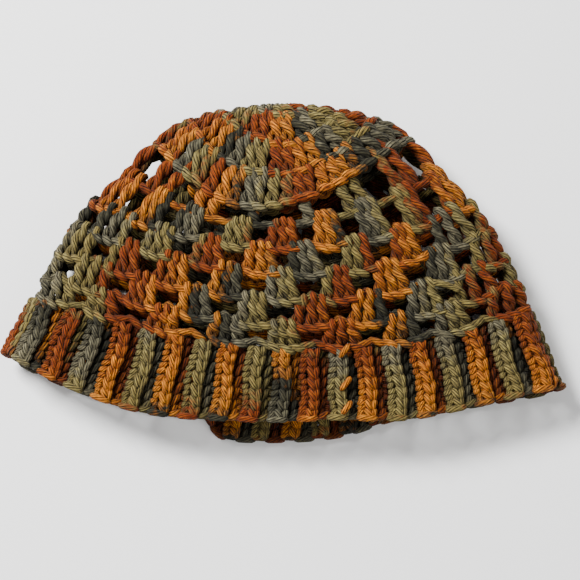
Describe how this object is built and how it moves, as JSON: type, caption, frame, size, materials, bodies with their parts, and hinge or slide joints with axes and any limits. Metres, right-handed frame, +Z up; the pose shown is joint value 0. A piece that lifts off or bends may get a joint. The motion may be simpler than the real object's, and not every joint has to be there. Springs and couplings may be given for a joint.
{
  "type": "granny square beanie",
  "caption": "Crocheted beanie lying flat, with a solid crown, open rounds of granny clusters and a ribbed band.",
  "frame": {"origin": "middle of the footprint of the lying hat, on the surface that it lies on", "axes": "+X across the hat from its left fold to its right fold, +Y from the rim to the crown, +Z up through the two layers"},
  "size_m": [0.3044, 0.1848, 0.0513],
  "materials": {
    "crown_yarn": "matt crocheted wool-like yarn, shading from moss grey through olive and rust to amber",
    "round_yarn": "matt crocheted wool-like yarn, shading from moss grey through olive and rust to amber",
    "band_yarn": "matt crocheted wool-like yarn, shading from moss grey through olive and rust to amber"
  },
  "bodies": {
    "root": {"crown": "crown_yarn", "open_round_1": "round_yarn", "open_round_2": "round_yarn", "open_round_3": "round_yarn", "open_round_4": "round_yarn", "open_round_5": "round_yarn", "open_round_6": "round_yarn", "rib_band": "band_yarn"}
  },
  "joints": []
}
